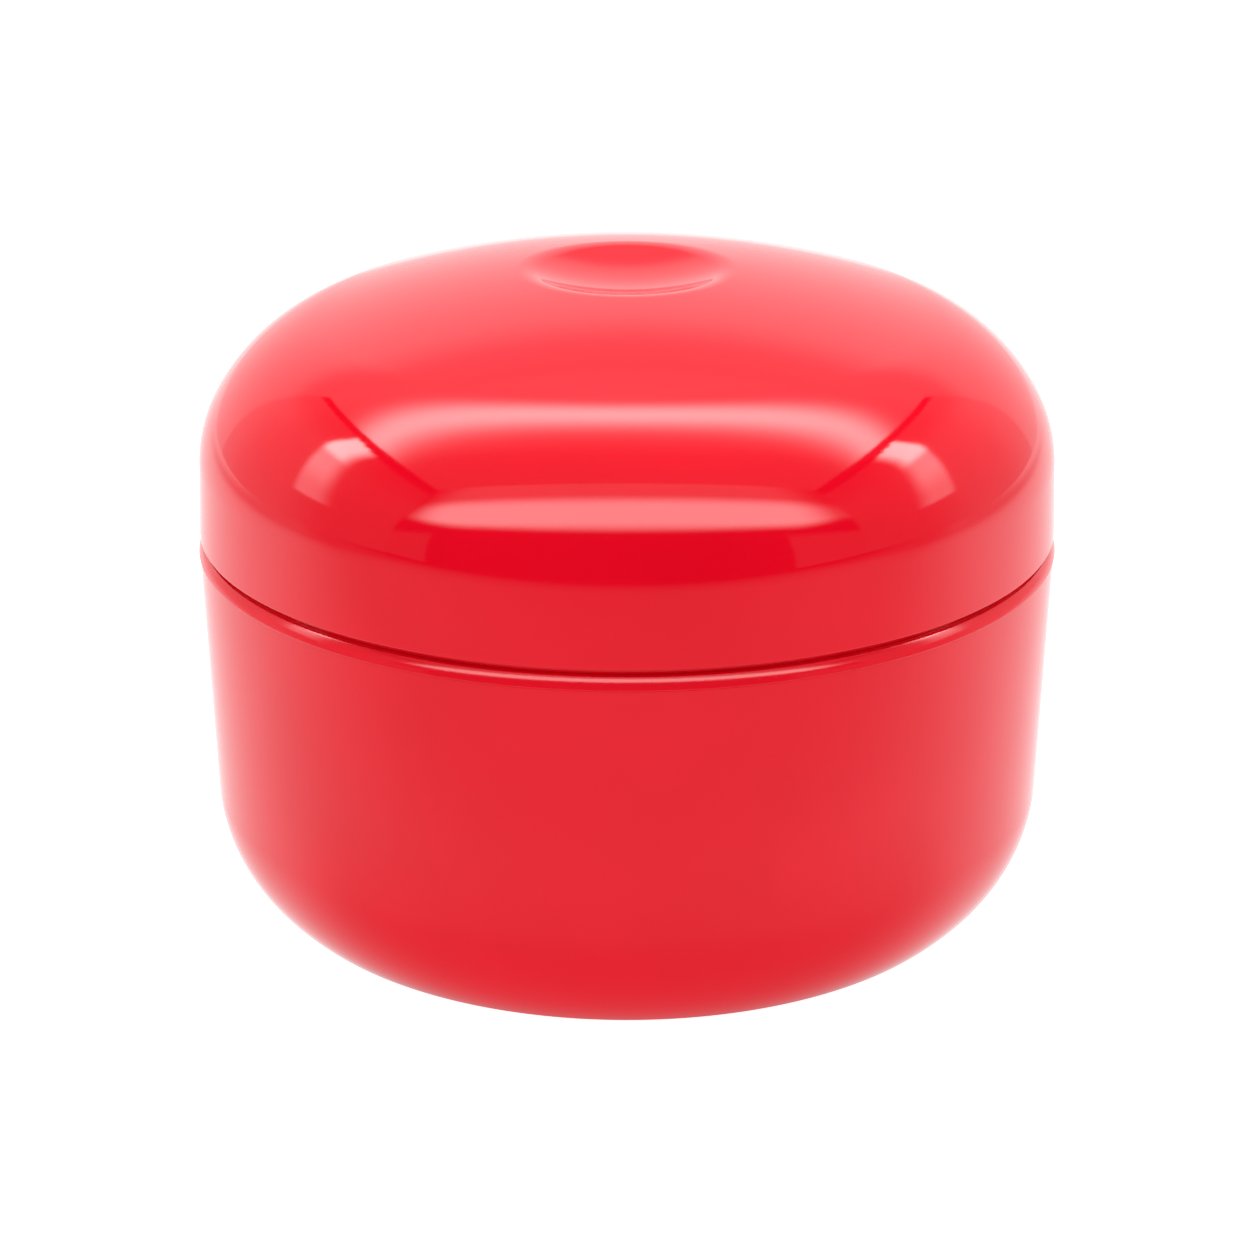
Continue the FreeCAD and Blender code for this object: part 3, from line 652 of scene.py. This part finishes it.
def side_light(place):
    """Cloth that is brighter to the back, and a slanting patch of lamplight that is brightest on top."""
    x, y, z = place.axis("X"), place.axis("Y"), place.axis("Z")
    cloth = SIDE_CLOTH + SIDE_MIDDLE * y.between(-0.4, 0.4) + SIDE_BACK * y.between(0.9, 1.9)
    shade = 1 - TOP_SHADE * z.between(1.3, 1.9)
    across = y - SLANT * z + SKEW * x + TOP_BEND * z.between(1.5, 2.1)
    patch = across.between(-0.56, -0.28) * (1 - across.between(-0.06, 0.06)) * z.between(0.56, 0.64)
    lamp = PATCH_LOW + PATCH_MIDDLE * z.between(0.8, 1.2) + PATCH_TOP * z.between(1.38, 1.54)
    ragged = z + SEAM_WAVE * (y * 40).maths("SINE") + SEAM_DROP * (1 - y.between(-0.3, 0.9))
    seam = ragged.between(*SEAM)
    return (cloth * shade + patch * lamp) * (1 - seam)


ROOF_CLOTH, ROOF_BACK, ROOF_LAMP = 0.42, 0.28, 6.2
BAND_PLACE, BAND_WIDTH, BAND_BEND, BAND_SKEW = 0.80, 0.40, 0.12, 0.03


def roof_light(place):
    """Cloth with a lamp's bright band across it, which bends forward at its ends."""
    x, y = place.axis("X"), place.axis("Y")
    away = (y - BAND_PLACE + BAND_BEND * x * x + BAND_SKEW * x) * (1 / BAND_WIDTH)
    return ROOF_CLOTH + ROOF_BACK * y.between(-0.4, 0.1) + ROOF_LAMP * (away * away * -1).maths("EXPONENT")


BACK_CLOTH, BACK_SHADE = 1.0, 0.38


def back_light(place):
    """Even cloth, darker below the roof."""
    return BACK_CLOTH - BACK_SHADE * place.axis("Z").between(1.35, 1.85)


TABLE_FRONT, TABLE_BACK = 0.56, 0.68
UNDER_SHADE, SIDE_SHADE = 0.65, 0.5


def table_light(place):
    """The table, a glowing sheet: brightest beside and behind the object, with a painted shadow under the
    object's front, and dark at the front edge.
    """
    x, y = place.axis("X"), place.axis("Y")
    from_axis = (x * x + y * y).maths("SQRT")
    # Painted shadow: the table is darkened under the object's front, where the object shades it.
    painted_shadow_under_front = (1 - from_axis.between(0.085, 0.19)) * (1 - y.between(-0.09, -0.04))
    far_side = x.maths("ABSOLUTE").between(0.5, 0.9) * (1 - y.between(0.3, 1.3))
    level = (TABLE_FRONT + TABLE_BACK * y.between(-0.22, 0.04)) * y.between(-0.95, -0.2)
    return level * (1 - UNDER_SHADE * painted_shadow_under_front) * (1 - SIDE_SHADE * far_side)


panel("tent_front", front_light,
      (LEFT, FRONT, TABLE), (LEFT, FRONT, TENT_TOP), (RIGHT, FRONT, TENT_TOP), (RIGHT, FRONT, TABLE))
panel("tent_back", back_light,
      (LEFT, BACK, TABLE), (RIGHT, BACK, TABLE), (RIGHT, BACK, TENT_TOP), (LEFT, BACK, TENT_TOP))
panel("tent_left", side_light,
      (LEFT, FRONT, TABLE), (LEFT, BACK, TABLE), (LEFT, BACK, TENT_TOP), (LEFT, FRONT, TENT_TOP))
panel("tent_right", side_light,
      (RIGHT, FRONT, TABLE), (RIGHT, FRONT, TENT_TOP), (RIGHT, BACK, TENT_TOP), (RIGHT, BACK, TABLE))
roof = panel("tent_roof", roof_light,
             (LEFT, FRONT, TENT_TOP), (LEFT, BACK, TENT_TOP),
             (RIGHT, BACK, TENT_TOP), (RIGHT, FRONT, TENT_TOP))
roof.visible_diffuse = True
# The table glows with painted light and carries a painted shadow under the object's front.
panel("table", table_light,
      (LEFT, FRONT, TABLE), (RIGHT, FRONT, TABLE), (RIGHT, BACK, TABLE), (LEFT, BACK, TABLE))

# ---------------------------------------------------------------- floor
# The plain pale floor that only the camera sees, lit to white, and the pale air behind it.
FLOOR_REACH, FLOOR_GLOW = 30.0, 0.9
AIR = (0.985, 0.985, 0.985, 1)
FLOOR_GREY, FLOOR_CLOUD = (0.85, 0.85, 0.85, 1), (0.8, 0.8, 0.8, 1)


def floor_pigment(place):
    """Pale grey with very faint clouds."""
    return place.noise(500).blend(FLOOR_GREY, FLOOR_CLOUD)


floor = flat_sheet("floor", [(-FLOOR_REACH, -FLOOR_REACH, 0), (FLOOR_REACH, -FLOOR_REACH, 0),
                             (FLOOR_REACH, FLOOR_REACH, 0), (-FLOOR_REACH, FLOOR_REACH, 0)])
floor.data.materials.append(finish("floor_white", floor_pigment, Roughness=0.9, Specular_IOR_Level=0.0,
                                   Emission_Color=(1, 1, 1, 1), Emission_Strength=FLOOR_GLOW))
floor.visible_glossy = floor.visible_diffuse = floor.visible_shadow = False

world = bpy.data.worlds.new("studio_air")
world.use_nodes = True
world.node_tree.nodes["Background"].inputs["Color"].default_value = AIR
bpy.context.scene.world = world
bpy.context.scene.view_settings.view_transform = "Standard"

# ---------------------------------------------------------------- camera
# A long lens four rim diameters away, in front of the object and above it, that looks down onto the
# lid's crown. It is aimed from the lid's lower edge in the CAD.
DISTANCE, ELEVATION, PITCH, FIELD = 800.0, 18.985, 20.778, 20.87
AIM_BELOW_SKIRT = 1.2

aim_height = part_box("lid_dome")[0].z - AIM_BELOW_SKIRT * MM
rise = np.radians(ELEVATION)
camera = bpy.data.objects.new("camera", bpy.data.cameras.new("camera"))
camera.data.angle = np.radians(FIELD)
camera.location = (0, -DISTANCE * MM * np.cos(rise), aim_height + DISTANCE * MM * np.sin(rise))
camera.rotation_euler = (np.radians(90 - PITCH), 0, 0)
bpy.context.scene.collection.objects.link(camera)
bpy.context.scene.camera = camera
